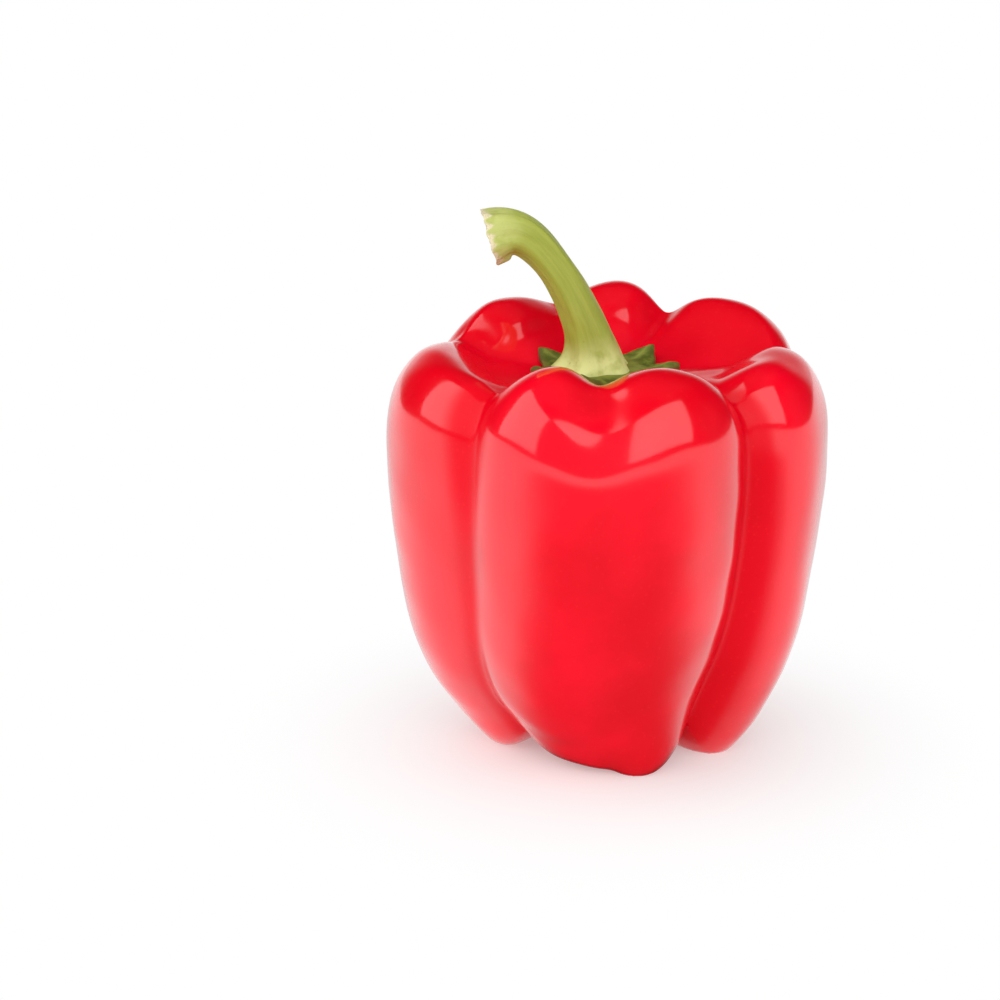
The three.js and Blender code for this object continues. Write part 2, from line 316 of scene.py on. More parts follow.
@dataclass(frozen=True)
class WaxySkin:
    """The fruit's skin: clear wax over red flesh, cloudy with ripeness, with fine pores, and painted shade
    in its grooves.
    """

    ripe: Colour = (0.9, 0.0012, 0.016)
    deep: Colour = (0.76, 0.0008, 0.01)
    # painted shade: the darker red laid into the grooves
    groove: Colour = (0.66, 0.0006, 0.009)
    pore: Colour = (0.9, 0.02, 0.022)
    scar: Colour = (0.2, 0.1, 0.035)
    clouds_in_metre: float = 38
    wear_in_metre: float = 60
    pores_in_metre: float = 700
    peel_in_metre: float = 1100
    peel_depth: float = 0.012
    cloud_edges: Stretch = (0.38, 0.66)
    wear_edges: Stretch = (0.3, 0.7)
    roughness: Stretch = (0.22, 0.26)
    pore_edges: Stretch = (0.08, 0.26)
    pore_tint: float = 0.22
    peel_strength: float = 0.3
    # share of the painted groove shade that shows at the deepest
    groove_shade_tint: float = 0.6
    wax_goes: Stretch = (0.5, 1)
    groove_wax: float = 0.12

    def material(self) -> bpy.types.Material:
        """Builds the finish: ripeness clouds, painted shade in the grooves, pale pores and the scar
        underneath.
        """
        skin = Pattern("waxy_red_skin")
        at = skin.place()
        groove = skin.layer("groove")
        clouds = skin.between(skin.noise(at, self.clouds_in_metre, 4), *self.cloud_edges)
        colour = skin.tint(clouds, self.ripe, self.deep)
        # painted shade: the grooves darken with their depth
        colour = skin.tint(skin.times(groove, self.groove_shade_tint), colour, self.groove)
        pores = skin.between(skin.cells(at, self.pores_in_metre), *self.pore_edges, self.pore_tint, 0)
        colour = skin.tint(pores, colour, self.pore)
        colour = skin.tint(skin.layer("scar"), colour, self.scar)
        peel = skin.relief(skin.noise(at, self.peel_in_metre, 2), self.peel_depth, self.peel_strength)
        dullness = skin.noise(at, self.wear_in_metre, 2, 0.4)
        wear = skin.between(dullness, *self.wear_edges, *self.roughness)
        wax = skin.between(groove, *self.wax_goes, 1, self.groove_wax)
        return skin.dress(
            base_color=colour,
            roughness=wear,
            normal=peel,
            ior=1.45,
            specular_ior_level=0.14,
            coat_weight=wax,
            coat_ior=1.65,
            coat_roughness=0.11,
            subsurface_weight=0.06,
            subsurface_radius=(1.0, 0.12, 0.08),
            subsurface_scale=0.004,
        )


@dataclass(frozen=True)
class StalkRind:
    """The stalk's rind: light green with long streaks and specks, a painted highlight at its foot, and a
    pale, corky cut end.
    """

    light: Colour = (0.35, 0.39, 0.055)
    green: Colour = (0.28, 0.33, 0.035)
    # pale green: the tip's own lighter green, and a painted highlight at the foot
    pale: Colour = (0.68, 0.7, 0.27)
    olive: Colour = (0.24, 0.25, 0.03)
    cork: Colour = (0.74, 0.66, 0.44)
    pith: Colour = (0.5, 0.4, 0.2)
    pale_in_metre: float = 300
    specks_in_metre: float = 900
    crumbs_in_metre: float = 1500
    streak_edges: Stretch = (0.34, 0.7)
    pale_edges: Stretch = (0.15, 0.6)
    speck_edges: Stretch = (0.62, 0.78)
    speck_tint: float = 0.6
    crumb_edges: Stretch = (0.42, 0.68)
    line_depth: float = 0.3
    crumb_depth: float = 0.18
    relief_strength: float = 0.5
    rind_roughness: float = 0.48
    cut_roughness: float = 0.85

    def material(self) -> bpy.types.Material:
        """Builds the finish: streaks that run with the stalk, a painted highlight at the foot, a paler tip,
        and the corky cut.
        """
        rind = Pattern("stalk_rind")
        at = rind.place()
        cut = rind.layer("cut")
        layers = (rind.layer("across"), rind.layer("around"), rind.layer("along"))
        streaks = rind.noise(rind.node("CombineXYZ", dict(enumerate(layers))).outputs[0], 1, 4, 0.6)
        colour = rind.tint(rind.between(streaks, *self.streak_edges), self.light, self.green)
        clouds = rind.between(rind.noise(at, self.pale_in_metre), *self.pale_edges)
        # pale layer: a painted highlight at the foot, and the tip's own lighter green
        colour = rind.tint(rind.times(rind.layer("pale"), clouds), colour, self.pale)
        flecks = rind.noise(at, self.specks_in_metre, 3, 0.65)
        specks = rind.between(flecks, *self.speck_edges, 0, self.speck_tint)
        colour = rind.tint(specks, colour, self.olive)
        crumbs = rind.noise(at, self.crumbs_in_metre, 5, 0.7)
        cork = rind.tint(rind.between(crumbs, *self.crumb_edges), self.cork, self.pith)
        colour = rind.tint(cut, colour, cork)
        lines = rind.relief(streaks, self.line_depth, self.relief_strength)
        grain = rind.relief(crumbs, self.crumb_depth, self.relief_strength, over=lines)
        rough = rind.between(cut, 0, 1, self.rind_roughness, self.cut_roughness)
        return rind.dress(
            base_color=colour,
            roughness=rough,
            normal=grain,
            ior=1.42,
            coat_weight=0.08,
            coat_roughness=0.3,
            subsurface_weight=0.05,
            subsurface_radius=(0.5, 0.6, 0.15),
            subsurface_scale=0.002,
        )


@dataclass(frozen=True)
class CalyxSkin:
    """The calyx: dark, mottled green, paler along its ribs, with a dry brown edge."""

    dark: Colour = (0.075, 0.095, 0.008)
    mottle: Colour = (0.18, 0.2, 0.022)
    rib: Colour = (0.3, 0.33, 0.06)
    edge: Colour = (0.11, 0.09, 0.02)
    mottles_in_metre: float = 420
    veins_in_metre: float = 700
    grain_in_metre: float = 1200
    wear_in_metre: float = 300
    mottle_edges: Stretch = (0.4, 0.62)
    wear_edges: Stretch = (0.3, 0.7)
    roughness: Stretch = (0.5, 0.7)
    rib_tint: float = 0.7
    edge_tint: float = 0.6
    relief_depth: float = 0.12
    relief_strength: float = 0.5

    def material(self) -> bpy.types.Material:
        """Builds the finish: mottling, paler middle and ribs, and the darker dry edge."""
        leaf = Pattern("calyx_green")
        at = leaf.place()
        mottles = leaf.between(leaf.noise(at, self.mottles_in_metre, 4, 0.6), *self.mottle_edges)
        colour = leaf.tint(mottles, self.dark, self.mottle)
        colour = leaf.tint(leaf.times(leaf.layer("rib"), self.rib_tint), colour, self.rib)
        colour = leaf.tint(leaf.times(leaf.layer("edge"), self.edge_tint), colour, self.edge)
        cells = leaf.cells(at, self.veins_in_metre)
        veins = leaf.relief(cells, self.relief_depth, self.relief_strength)
        grain = leaf.noise(at, self.grain_in_metre, 4, 0.6)
        rough = leaf.between(leaf.noise(at, self.wear_in_metre), *self.wear_edges, *self.roughness)
        return leaf.dress(
            base_color=colour,
            roughness=rough,
            normal=leaf.relief(grain, self.relief_depth, self.relief_strength, over=veins),
            specular_ior_level=0.25,
            coat_weight=0.04,
            coat_roughness=0.35,
        )


class StageColour(Enum):
    """Flat colours of what stands round the pepper."""

    FLOOR = (0.95, 0.935, 0.93)
    FLOOR_CLOUD = (0.93, 0.915, 0.915)
    SHADE = (0.02, 0.01, 0.01)
    # also the colour of the floor's painted glow away from the pepper
    AIR = (1.0, 1.0, 1.0)


# ---- The fruit ---------------------------------------------------------------------------------------
@dataclass(frozen=True)
class Lobe:
    """How far one lobe's sizes lie from the fruit's own, in millimetres. angle is in degrees from +X."""

    angle: float
    rise: float
    crest: float
    girth: float
    waist: float
    hip: float
    foot: float
    lift: float


@dataclass(frozen=True)
class Groove:
    """A furrow down the fruit: its plan angles in degrees, and its depths in millimetres."""

    top_angle: float
    base_angle: float
    crest: float
    side: float
    foot: float
    crest_comes: ClassVar[Stretch] = (1.5, 5)  # spans of the outline over which each depth comes or goes
    crest_goes: ClassVar[Stretch] = (6, 9.5)
    side_comes: ClassVar[Stretch] = (6, 9.5)
    foot_comes: ClassVar[Stretch] = (11, 14)
    foot_goes: ClassVar[Stretch] = (15, 18)
    drift: ClassVar[Stretch] = (7, 15)

    def depth(self, s: Array) -> Array:
        """Depth at s: its crest, side and foot depths, each within its own stretch of the outline."""
        crest = self.crest * ramp(s, *self.crest_comes) * (1 - ramp(s, *self.crest_goes))
        side = self.side * ramp(s, *self.side_comes) * (1 - ramp(s, *self.foot_comes))
        return crest + side + self.foot * ramp(s, *self.foot_comes) * (1 - ramp(s, *self.foot_goes))

    def angle(self, s: Array) -> Array:
        """Plan angle at s, in radians, drifting from the top angle to the base angle down the side."""
        return np.radians(self.top_angle + (self.base_angle - self.top_angle) * ramp(s, *self.drift))


@dataclass(frozen=True)
class Fold(Groove):
    """A shallow furrow that splits the shoulder of a lobe. width is in degrees."""

    width: float
    crest_goes: ClassVar[Stretch] = (6, 8)


class Standoff(Enum):
    """How far [out, up] the outline's handles stand off its rings, in millimetres."""

    CAVITY_EDGE = (0, 1)
    CAVITY_WALL = (1.4, -0.6)
    CREST_INSIDE = (-5.4, -2.9)
    CREST = (1, 1.4)
    CREST_OUTSIDE = (1, 0.5)
    SHOULDER = (0.5, -7.6)
    GIRTH = (1, -21)
    SIDE = (0.8, -11.5)
    THIGH = (1.4, 0)
    FOOT_OUTSIDE = (8, 4.8)
    FOOT = (3.3, -1.4)
    FOOT_INSIDE = (-2.8, -2.4)


LOBES = (
    Lobe(-119, 1.4, -2.8, -0.4, 0, -0.7, -0.5, 3.2),
    Lobe(-64, 0, -0.9, -0.9, -0.6, -3.6, 0.6, -1.1),
    Lobe(-13, -4.8, 2, -0.4, 2.3, 3.6, 5, 0),
    Lobe(29, -0.9, 6.6, 5, 2.5, 0.8, 1.5, 0),
    Lobe(91, 2.9, 0, -1.4, -1, -1.5, -0.5, 0),
    Lobe(119, 2.2, -2.6, -5.2, -1, -0.5, 0.5, 0),
    Lobe(193, -3.6, 1.9, -0.5, 1, 2.2, 1, 0.3),
)
GROOVES = (
    Groove(-134, -144, 7.6, 4.8, 5.7),
    Groove(-39, -36, 8, 8.5, 9.5),
    Groove(16, 20, 6.7, 5.7, 6.7),
    Groove(106, 110, 5.2, 4.8, 6.7),
)
FOLDS = (
    Fold(-94, -84, 4.6, 0, 1.9, 13),
    Fold(65, 65, 6.5, 0.6, 0, 9),
    Fold(156, 160, 4.6, 1.4, 0, 13),
)


@dataclass
class Fruit:
    """The hollow-topped fruit. Sizes are in millimetres."""

    shoulder_height: float = 86
    crest_radius: float = 27.5
    girth_radius: float = 43.2
    waist_radius: float = 40
    waist_height: float = 38
    hip_radius: float = 33
    hip_height: float = 14
    foot_radius: float = 18.5
    cavity_depth: float = 10
    cavity_floor_radius: float = 11.6
    blossom_radius: float = 7.6
    blossom_dip: float = 7.6
    lobe_sharpness: float = 9
    lobe_fullness: float = 3.3
    groove_softness: float = 0.2
    fold_sharpness: float = 1.8
    fold_softness: float = 0.6
    swell: float = 0.16
    ripple: float = 0.085
    uneven_comes: Stretch = (3, 6)
    uneven_goes: Stretch = (13, 15)
    scar_radius: float = 3.2
    scar_core: float = 0.6
    scar_lobes: int = 5
    scar_waviness: float = 0.2
    furrow_shade: Stretch = (1.5, 6)
    hollow_spans: Stretch = (1, 6)
    halvings: int = 16
    around: int = 320
    rings: int = 272
    finish: WaxySkin = field(default_factory=WaxySkin)

    def lobe_sizes(self, angle: Array) -> dict[str, Array]:
        """Each lobe's own sizes, averaged with weights exp(k (cos(distance in angle) - 1)).

        Args:
            angle: Plan angle, in radians.

        Returns:
            Name of the size to its value at the angle.
        """
        off = [np.cos(angle - math.radians(lobe.angle)) - 1 for lobe in LOBES]
        weights = [np.exp(self.lobe_sharpness * fall) for fall in off]
        total = sum(weights)
        names = [f.name for f in fields(Lobe) if f.name != "angle"]
        return {n: sum(w * getattr(lobe, n) for w, lobe in zip(weights, LOBES)) / total for n in names}

    def outline(self, angle: Array) -> tuple[Array, Array]:
        """Handles of the outline, from the middle of the stalk hollow round to the hollow underneath.

        Args:
            angle: Plan angle, in radians.

        Returns:
            The handles' radii and their heights.
        """
        own = self.lobe_sizes(angle)
        floor = self.shoulder_height - self.cavity_depth
        top = self.shoulder_height + own["rise"]
        lift = own["lift"]
        cavity = (self.cavity_floor_radius, floor)
        crest = (self.crest_radius + own["crest"], top)
        girth = (self.girth_radius + own["girth"], top)
        waist = (self.waist_radius + own["waist"], self.waist_height)
        hip = (self.hip_radius + own["hip"], self.hip_height)
        foot = (self.foot_radius + own["foot"], lift)
        pairs = (
            (-cavity[0] / 2, floor),
            (0, floor),
            (cavity[0] / 2, floor),
            self.off(cavity, Standoff.CAVITY_EDGE),
            self.off(self.midway(cavity, crest), Standoff.CAVITY_WALL),
            self.off(crest, Standoff.CREST_INSIDE),
            self.off(crest, Standoff.CREST),
            self.off(self.midway(crest, girth), Standoff.CREST_OUTSIDE),
            self.off(girth, Standoff.SHOULDER),
            self.off(girth, Standoff.GIRTH),
            self.off(self.midway(girth, waist), Standoff.SIDE),
            waist,
            self.off(self.midway(waist, hip), Standoff.THIGH),
            hip,
            self.off(foot, Standoff.FOOT_OUTSIDE),
            self.off(foot, Standoff.FOOT),
            self.off(foot, Standoff.FOOT_INSIDE),
            (self.blossom_radius, (lift + self.blossom_dip) / 2),
            (self.blossom_radius / 2, self.blossom_dip),
            (0, self.blossom_dip),
            (-self.blossom_radius / 2, self.blossom_dip),
        )
        spread = [[value + np.zeros_like(angle) for value in pair] for pair in pairs]
        return np.stack([radius for radius, _ in spread]), np.stack([height for _, height in spread])

    @staticmethod
    def off(ring: tuple[Array, Array], standoff: Standoff) -> tuple[Array, Array]:
        """The radius and height of a handle that stands off a ring."""
        out, up = standoff.value
        return ring[0] + out, ring[1] + up

    @staticmethod
    def midway(one: tuple[Array, Array], other: tuple[Array, Array]) -> tuple[Array, Array]:
        """The radius and height halfway between two rings."""
        return (one[0] + other[0]) / 2, (one[1] + other[1]) / 2

    def sunk(self, angle: Array, s: Array) -> Array:
        """How far the skin lies in from the outline.

        Between two grooves, with u from -1 in one to 1 in the other, a lobe swells as 1 - |u|^k, rounded
        where it meets the groove. Each fold adds a soft notch that fades as exp(-k q) to either side.

        Args:
            angle: Plan angle, in radians.
            s: Place along the outline, in spans.

        Returns:
            Depths in millimetres.
        """
        depth = np.zeros_like(angle)
        soft = self.groove_softness
        for before, after in zip(GROOVES, GROOVES[1:] + GROOVES[:1]):
            start = before.angle(s)
            width = (after.angle(s) - start) % math.tau
            along = (angle - start) % math.tau
            u = np.clip(2 * along / width - 1, -1, 1)
            swell = 1 - np.abs(u) ** self.lobe_fullness
            rounded = (np.hypot(swell, soft) - soft) / (math.hypot(1, soft) - soft)
            deep = np.where(u < 0, before.depth(s), after.depth(s)) * (1 - rounded)
            depth = np.where(along < width, deep, depth)
        for fold in FOLDS:
            off = (angle - fold.angle(s) + math.pi) % math.tau - math.pi
            away = np.hypot(off / math.radians(fold.width), self.fold_softness) - self.fold_softness
            depth = depth + fold.depth(s) * np.exp(-self.fold_sharpness * away)
        return depth

    def profile(self, angle: Array, s: Array, uneven: float = 0) -> tuple[Array, Array, Array]:
        """Radius and height of the skin: the outline, moved in along its own normal by the depth.

        Args:
            angle: Plan angle, in radians.
            s: Place along the outline, in spans.
            uneven: Share of the skin's slow, irregular swells and finer ripples that is added.

        Returns:
            Radii, heights, and the depth of the furrows.
        """
        radii, heights = self.outline(angle)
        radius, out = spline(radii, s)
        height, up = spline(heights, s)
        furrow = self.sunk(angle, s)
        on_side = uneven * ramp(s, *self.uneven_comes) * (1 - ramp(s, *self.uneven_goes))
        swells = self.swell * waves(angle, s / 2, seed=4) + self.ripple * waves(3 * angle, 1.7 * s, seed=9)
        depth = (furrow - on_side * swells) / np.hypot(out, up)
        return radius + up * depth, np.maximum(height - out * depth, 0), furrow

    def hollow_height(self, x: Array, y: Array) -> Array:
        """Height of the skin over a plan point of the stalk hollow, found by halving the spans.

        Args:
            x: Place across, in millimetres.
            y: Place in depth, in millimetres.

        Returns:
            Heights in millimetres.
        """
        angle = np.arctan2(y, x)
        reach = np.hypot(x, y)
        low, high = (np.full_like(x, span) for span in self.hollow_spans)
        for _ in range(self.halvings):
            s = (low + high) / 2
            short = self.profile(angle, s)[0] < reach
            low = np.where(short, s, low)
            high = np.where(short, high, s)
        return self.profile(angle, low)[1]

    def build(self) -> bpy.types.Object:
        """Turns the outline once round. The surface is (r cos a, r sin a, h) over the angle and s.

        Returns:
            The finished piece, with layers for its grooves, which carry their painted shade and thinner wax,
            and for the scar underneath.
        """
        spans = len(self.outline(np.zeros(1))[0]) - 3
        s, angle = grid(np.linspace(0, spans, self.rings), full_turn(self.around))
        radius, height, furrow = self.profile(angle, s, uneven=1)
        points = np.stack([radius * np.cos(angle), radius * np.sin(angle), height], axis=-1)
        lobed = radius * (1 + self.scar_waviness * np.cos(self.scar_lobes * angle))
        core = self.scar_radius * self.scar_core
        scar = (s > spans / 2) * (1 - ramp(lobed, core, self.scar_radius))
        return closed_grid("pepper_fruit", points, groove=ramp(furrow, *self.furrow_shade), scar=scar)


# ---- The stalk and the calyx -------------------------------------------------------------------------
@dataclass
class Calyx:
    """The pointed green plate that lies in the hollow, with the stalk's seat in its middle."""

    fruit: Fruit
    centre: float = -0.3
    radius: float = 13.6
    point_depth: float = 1.9
    points: int = 7
    point_angle: float = -6
    thickness: float = 1.5
    seat_centre: float = -2.3
    seat_radius: float = 7.8
    seat_slope: float = 5.8
    seat_gap: float = 0.3
    seat_rise: float = 1
    point_sharpness: float = 1.7
    jag_depth: float = 0.35
    tooth_depth: float = 0.3
    rib_height: float = 0.35
    rib_sharpness: int = 6
    curl: float = 0.9
    pale_middle: float = 0.6
    lumpiness: float = 0.12
    rim_roundness: int = 5
    row_spread: float = 0.8
    # Shares of the way to the rim over which each thing comes or goes
    rib_comes: Stretch = (0.35, 0.6)
    rib_goes: Stretch = (0.8, 1)
    curl_comes: Stretch = (0.55, 1)
    seat_goes: Stretch = (0.85, 1)
    dry_comes: Stretch = (0.88, 1)
    pale_goes: Stretch = (0.5, 0.75)
    around: int = 300
    rings: int = 70
    finish: CalyxSkin = field(default_factory=CalyxSkin)

    @property
    def seat_height(self) -> float:
        """Height of the flat seat that the stalk stands on."""
        floor = self.fruit.shoulder_height - self.fruit.cavity_depth
        return floor + self.seat_gap + self.thickness + self.seat_rise

    def build(self) -> bpy.types.Object:
        """Lays a pointed plate on the hollow's floor.

        Over the angle and the share of the way to the rim, the plan radius is share times a rim that
        reaches furthest at the points. The height is the skin's, plus a thickness that rounds off at the
        rim, ribs towards the points, and the rise to the seat.

        Returns:
            The finished piece, with layers for its ribs and edge.
        """
        v, angle = grid(np.linspace(-1, 1, self.rings), full_turn(self.around))
        share = (1 - np.abs(v)) ** self.row_spread
        turn = self.points * (angle - math.radians(self.point_angle)) / 2
        nearness = 1 - np.abs((turn / math.pi + 0.5) % 1 - 0.5) * 2
        teeth = self.tooth_depth * waves(5 * angle, np.ones_like(angle), seed=3)
        jag = self.jag_depth * waves(angle, np.zeros_like(angle), seed=12) + teeth
        tips = 2 * self.point_depth * nearness**self.point_sharpness
        rim = self.radius - self.point_depth + tips + jag
        x = self.centre + share * rim * np.cos(angle)
        y = share * rim * np.sin(angle)
        lift = self.curl * nearness * ramp(share, *self.curl_comes)
        under = self.fruit.hollow_height(x, y) + self.seat_gap + lift
        on_rib = ramp(share, *self.rib_comes) * (1 - ramp(share, *self.rib_goes))
        rib = nearness**self.rib_sharpness * on_rib
        lumps = self.lumpiness * waves(angle * 2, share * 9, seed=31)
        thickness = self.thickness * np.sqrt(np.clip(1 - share**self.rim_roundness, 0, 1)) * (1 + lumps)
        over = under + thickness + self.rib_height * rib
        from_stalk = np.hypot(x - self.seat_centre, y)
        seat = 1 - ramp(from_stalk, self.seat_radius, self.seat_radius + self.seat_slope)
        seated = seat * (1 - ramp(share, *self.seat_goes))
        over = over + (self.seat_height - over) * seated + lift
        top = v < 0
        points = np.stack([x, y, np.where(top, over, under)], axis=-1)
        ribs = top * np.maximum(rib, self.pale_middle * (1 - ramp(share, *self.pale_goes)))
        return closed_grid("pepper_calyx", points, rib=ribs, edge=ramp(share, *self.dry_comes))


@dataclass
class Stalk:
    """The curved stalk, from its flared foot to its corky cut end."""

    calyx: Calyx
    radius: float = 3.6
    base_radius: float = 7.8
    end_radius: float = 5.4
    height: float = 26
    reach: float = 20.2
    ridges: int = 5
    ridge_depth: float = 0.05
    foot_sink: float = 0.5
    flare: float = 1.2
    lump: float = 0.022
    fine_ridges: int = 11
    fine_ridge: float = 0.014
    fine_twist: float = 0.4
    knob: float = 0.05
    tip_pale: float = 0.45
    ragged: float = 0.3
    fray: float = 0.12
    pith_depth: float = 0.7
    crumb: float = 0.3
    streaks: float = 4.5
    streak_length: float = 10
    # Spans of the path, counted from its foot, over which each thing goes
    flare_goes: Stretch = (0, 2)
    # the painted highlight at the foot fades out over these spans
    foot_pale_goes: Stretch = (0.4, 2.2)
    # Spans of the path, counted from its end, over which each thing comes
    tip_pale_comes: Stretch = (-1.5, -0.3)
    knob_comes: Stretch = (-1.4, -0.4)
    torn_comes: Stretch = (-0.35, 0)
    cut_comes: Stretch = (-0.22, -0.06)
    # Shares of the way across the cut, from its middle to its rim
    torn_rim: Stretch = (0.75, 1)
    pith_fills: Stretch = (0.15, 0.85)
    crumbless_rim: float = 0.1
    around: int = 144
    rings: int = 260
    cap_rings: int = 13
    finish: StalkRind = field(default_factory=StalkRind)

    def handles(self) -> Array:
        """Handles of the stalk's path: out, up, and the radius there, in millimetres."""
        foot = self.calyx.seat_height - self.foot_sink
        bend = np.array(
            (
                (0, 0, self.base_radius),
                (0, 0.12, self.radius + 1.9),
                (0.04, 0.28, self.radius + 0.9),
                (0.125, 0.46, self.radius + 0.3),
                (0.26, 0.68, self.radius - 0.1),
                (0.46, 0.9, self.radius - 0.15),
                (0.72, 1.1, self.radius + 0.5),
                (1, 1.03, self.end_radius),
            )
        )
        path = bend * (-self.reach, self.height, 1) + (self.calyx.seat_centre, foot, 0)
        return np.concatenate([2 * path[:1] - path[1:2], path, 2 * path[-1:] - path[-2:-1]])

    def build(self) -> bpy.types.Object:
        """Carries a ridged round section along the path.

        The section's radius is r (1 + d cos(n a)) with fine irregular lumps. The first and last rows draw
        the section in to the middle, which closes the foot and the cut end, and the cut end's rows are
        also moved along the path: ragged at the rim and sunk at the pith.

        Returns:
            The finished piece, with layers for its streaks, its painted highlight at the foot, its paler tip
            and the cut.
        """
        handles = self.handles()
        spans = len(handles) - 3
        cap = np.linspace(0, 1, self.cap_rings + 1)[:-1]
        ends = (np.zeros(self.cap_rings), np.full(self.cap_rings, spans))
        t = np.concatenate([ends[0], np.linspace(0, spans, self.rings), ends[1]])
        t, angle = grid(t, full_turn(self.around))
        share, _ = grid(np.concatenate([cap, np.ones(self.rings), cap[::-1]]), angle[0])
        x, along_x = spline(handles[:, :1, None], t)
        z, along_z = spline(handles[:, 1:2, None], t)
        radius, _ = spline(handles[:, 2:, None], t)
        length = np.hypot(along_x, along_z)
        along = np.stack([along_x / length, np.zeros_like(t), along_z / length], axis=-1)
        out = np.stack([-along[..., 2], np.zeros_like(t), along[..., 0]], axis=-1)
        to_end = t - spans
        flare = 1 + self.flare * (1 - ramp(t, *self.flare_goes))
        ridge = self.ridge_depth * flare * np.cos(self.ridges * angle)
        fine = self.fine_ridge * np.cos(self.fine_ridges * angle + self.fine_twist * t)
        lumps = self.lump * waves(angle, t * 1.3, seed=8) + fine
        knob = self.knob * ramp(to_end, *self.knob_comes) * (1 + waves(angle, t, seed=21))
        section = share * radius * (1 + ridge + lumps + knob)
        at_end = (t >= spans) * 1.0
        rim = ramp(to_end, *self.torn_comes) * ramp(share, *self.torn_rim)
        torn = self.ragged * waves(2 * angle, np.ones_like(t), seed=5, count=14) * rim
        grit = waves(4 * angle, 11 * share, seed=17, count=14)
        crumbs = self.crumb * self.ragged * grit * at_end * ramp(1 - share, 0, self.crumbless_rim)
        sink = -self.pith_depth * at_end * (1 - ramp(share, *self.pith_fills))
        points = np.stack([x, np.zeros_like(t), z], axis=-1)
        points = points + out * (section * np.cos(angle))[..., None]
        points = points + np.array((0, 1, 0)) * (section * np.sin(angle))[..., None]
        points = points + along * (torn + crumbs + sink)[..., None]
        frayed = to_end + self.fray * waves(3 * angle, np.zeros_like(t), seed=5, count=14)
        pale_tip = self.tip_pale * ramp(to_end, *self.tip_pale_comes)
        # pale: a painted highlight at the foot, and the tip's own lighter green
        pale = np.maximum(1 - ramp(t, *self.foot_pale_goes), pale_tip)
        return closed_grid(
            "pepper_stalk",
            points,
            across=self.streaks * np.cos(angle),
            around=self.streaks * np.sin(angle),
            along=self.streaks / self.streak_length * t,
            pale=pale,
            cut=ramp(frayed, *self.cut_comes),
        )


@dataclass
class Pepper:
    """The whole pepper: its three pieces, set where the frame's own pieces stand."""

    fruit: Fruit = field(default_factory=Fruit)

    def build(self) -> Vector:
        """Builds, moves and dresses the three pieces.

        Returns:
            The foot of the fruit's own axis, in metres.
        """
        calyx = Calyx(self.fruit)
        stalk = Stalk(calyx)
        pieces = {
            "fruit": (self.fruit.build(), self.fruit.finish, "skin"),
            "calyx": (calyx.build(), calyx.finish, "calyx"),
            "stem": (stalk.build(), stalk.finish, "stem"),
        }
        axis = self.axis(pieces["fruit"][0])
        for node, (piece, finish, slot) in pieces.items():
            piece.data.transform(Matrix.Translation(axis))
            piece.data.materials.append(finish.material())
            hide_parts(node)
            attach(piece, "root")
            LOG.info("%s: %d faces", piece.name, len(piece.data.polygons))
        return axis

    @staticmethod
    def axis(fruit: bpy.types.Object) -> Vector:
        """Where the fruit's axis meets the floor, so that its middle in plan is the frame's."""
        low, high = (Vector(corner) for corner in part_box("fruit"))
        corners = [Vector(corner) for corner in fruit.bound_box]
        middle = (Vector(map(min, zip(*corners))) + Vector(map(max, zip(*corners)))) / 2
        shift = (low + high) / 2 - middle
        return Vector((shift.x, shift.y, low.z))


# ---- The studio --------------------------------------------------------------------------------------
@dataclass(frozen=True)
class Softbox:
    """A square or oblong light, in metres. glow is its brightness, and mirrored says if skin reflects it."""

    name: str
    place: Place
    aim: Place
    width: float
    height: float
    glow: float
    mirrored: bool = True

    def build(self) -> None:
        """Hangs the light, facing its aim. Its power is the glow times pi times its area."""
        light = bpy.data.lights.new(self.name, "AREA")
        light.shape = "RECTANGLE"
        light.size = self.width
        light.size_y = self.height
        light.energy = self.glow * math.pi * self.width * self.height
        lamp = bpy.data.objects.new(self.name, light)
        lamp.location = self.place
        lamp.visible_glossy = self.mirrored
        lamp.rotation_euler = (Vector(self.aim) - Vector(self.place)).to_track_quat("-Z", "Y").to_euler()
        bpy.context.collection.objects.link(lamp)


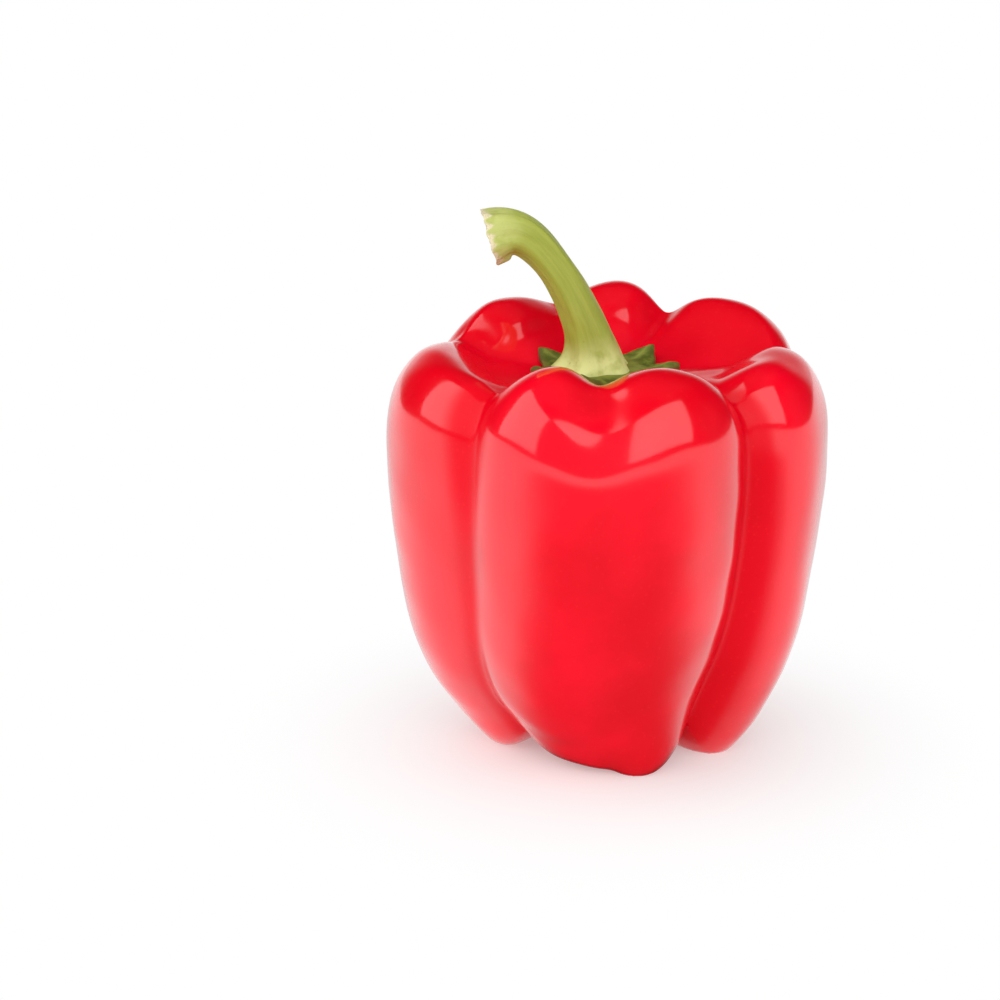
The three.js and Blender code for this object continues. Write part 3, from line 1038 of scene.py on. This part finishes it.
@dataclass
class Studio:
    """The floor, with its painted shade and painted glow, the air round it, the soft lights and the camera.
    """

    axis: Vector
    floor_size: float = 12
    # painted light: beyond this stretch the floor glows white, which hides its shade
    painted_floor_glow: Stretch = (-0.02, 0.083)  # metres from the middle over which the floor fades into the air
    shade_goes: Stretch = (0.22, 0.7)  # metres from the middle over which the floor's shade ends
    # ahead and behind: where glossy rays see painted shade on the floor, full ahead and part behind
    ahead: Stretch = (-0.95, -0.2)  # Y of the way out from the middle: -1 at the front, 1 at the back
    behind: Stretch = (0.3, 0.9)
    shade_behind: float = 0.45
    shade_depth: float = 0.96
    paper_roughness: float = 0.8
    paper_clouds_in_metre: float = 3
    elevation: float = 18
    distance: float = 0.665
    aside: float = 0.0206
    above: float = 0.0485
    lens: float = 116.4
    sensor: float = 36
    white: float = 1.05
    back: Stretch = (0.72, 0.97)  # Y of the way to the air, and high is its Z
    back_glow: Stretch = (0.01, 0.85)
    high: Stretch = (0.1, 0.5)
    high_glow: Stretch = (1, 0.02)
    lights: tuple[Softbox, ...] = (
        Softbox("left_softbox", (-0.98, -0.29, 0.79), (0, 0, 0.06), 1.55, 1.5, 1.35),
        Softbox("right_softbox", (0.54, -0.9, 0.79), (0, 0, 0.06), 1.3, 1.4, 1.4),
        Softbox("left_fill", (-1.3, 0.1, 0.5), (0, 0, 0.05), 1.2, 1.0, 0.9, mirrored=False),
        Softbox("right_fill", (1.35, 0.0, 0.5), (0, 0, 0.05), 1.1, 0.9, 1.1, mirrored=False),
        Softbox("front_fill", (-0.2, -1.1, 0.6), (0, 0, 0.05), 1.6, 1.2, 1.5, mirrored=False),
        Softbox("back_fill", (0.1, 0.3, 1.3), (0, 0, 0.05), 1.4, 1.2, 1.2, mirrored=False),
    )

    def floor(self) -> None:
        """Lays the floor under the pepper, with painted shade for glossy rays ahead of it, and a white glow,
        painted light, that leaves its shade only near the foot.
        """
        half = self.floor_size / 2
        mesh = bpy.data.meshes.new("floor")
        corners = [(-half, -half, 0), (half, -half, 0), (half, half, 0), (-half, half, 0)]
        mesh.from_pydata(corners, [], [tuple(range(len(corners)))])
        ground = bpy.data.objects.new("floor", mesh)
        bpy.context.collection.objects.link(ground)
        paper = Pattern("floor_paper")
        at = paper.place()
        reach = paper.node("VectorMath", {0: at}, operation="LENGTH").outputs["Value"]
        way = paper.node("VectorMath", {0: at}, operation="NORMALIZE").outputs[0]
        forward = paper.node("SeparateXYZ", {0: way}).outputs["Y"]
        ahead = paper.between(forward, *self.ahead, 1, 0)
        behind = paper.between(forward, *self.behind, 0, self.shade_behind)
        glossy = paper.node("LightPath", {}).outputs["Is Glossy Ray"]
        # painted shade: glossy rays see the floor dark ahead of the pepper and a little behind it
        painted_shade_for_reflections = paper.times(glossy, paper.plus(ahead, behind))
        clouds = paper.noise(at, self.paper_clouds_in_metre, 2)
        shade = paper.tint(clouds, StageColour.FLOOR.value, StageColour.FLOOR_CLOUD.value)
        shade = paper.tint(paper.times(painted_shade_for_reflections, self.shade_depth), shade, StageColour.SHADE.value)
        paper.dress(base_color=shade, roughness=self.paper_roughness)
        # painted light: a white glow that covers the floor's shading away from the pepper
        painted_floor_glow = paper.node("Emission", {"Color": (*StageColour.AIR.value, 1), "Strength": 1.0})
        painted_glow_share = paper.between(reach, *self.painted_floor_glow)
        # no painted glow where glossy rays see the painted shade
        hidden = paper.times(painted_shade_for_reflections, paper.between(reach, *self.shade_goes, 1, 0))
        painted_glow_share = paper.times(painted_glow_share, paper.between(hidden, 0, 1, 1, 0))
        mixed = paper.node("MixShader", {0: painted_glow_share, 1: paper.shader.outputs[0], 2: painted_floor_glow.outputs[0]})
        paper.feed(paper.tree.nodes["Material Output"].inputs["Surface"], mixed.outputs[0])
        mesh.materials.append(paper.material)

    def air(self) -> None:
        """White air: even where it is looked at. What the skin reflects is bright low at the back only."""
        world = bpy.data.worlds.new("studio_air")
        world.use_nodes = True
        sky = Pattern("studio_air", world.node_tree)
        way = sky.node("SeparateXYZ", {0: sky.node("TexCoord", {}).outputs["Generated"]}).outputs
        behind = sky.between(way["Y"], *self.back, *self.back_glow)
        low = sky.between(way["Z"], *self.high, *self.high_glow)
        looked_at = sky.node("LightPath", {}).outputs["Is Camera Ray"]
        glow = sky.node("Mix", {"Factor": looked_at, "A": sky.times(behind, low), "B": self.white})
        sky.feed(sky.tree.nodes["Background"].inputs["Strength"], glow.outputs[0])
        sky.feed(sky.tree.nodes["Background"].inputs["Color"], (*StageColour.AIR.value, 1))
        bpy.context.scene.world = world

    def camera(self) -> None:
        """Sets the camera level across, looking down at the elevation, with the axis off its middle."""
        tilt = math.radians(self.elevation)
        back = Vector((0, -math.cos(tilt), math.sin(tilt)))
        up = Vector((0, math.sin(tilt), math.cos(tilt)))
        lens = bpy.data.cameras.new("camera")
        lens.lens = self.lens
        lens.sensor_width = self.sensor
        viewer = bpy.data.objects.new("camera", lens)
        viewer.location = self.axis + back * self.distance - Vector((self.aside, 0, 0)) + up * self.above
        viewer.rotation_euler = (math.pi / 2 - tilt, 0, 0)
        bpy.context.collection.objects.link(viewer)
        bpy.context.scene.camera = viewer

    def build(self) -> None:
        """Builds the whole studio."""
        self.floor()
        self.air()
        for light in self.lights:
            light.build()
        self.camera()
        bpy.context.scene.view_settings.view_transform = "Standard"


def main() -> None:
    """Builds the pepper and its studio."""
    logging.basicConfig(level=logging.INFO, format="%(message)s")
    axis = Pepper().build()
    Studio(axis).build()
    bpy.context.view_layer.update()


if __name__ == "__main__":
    main()
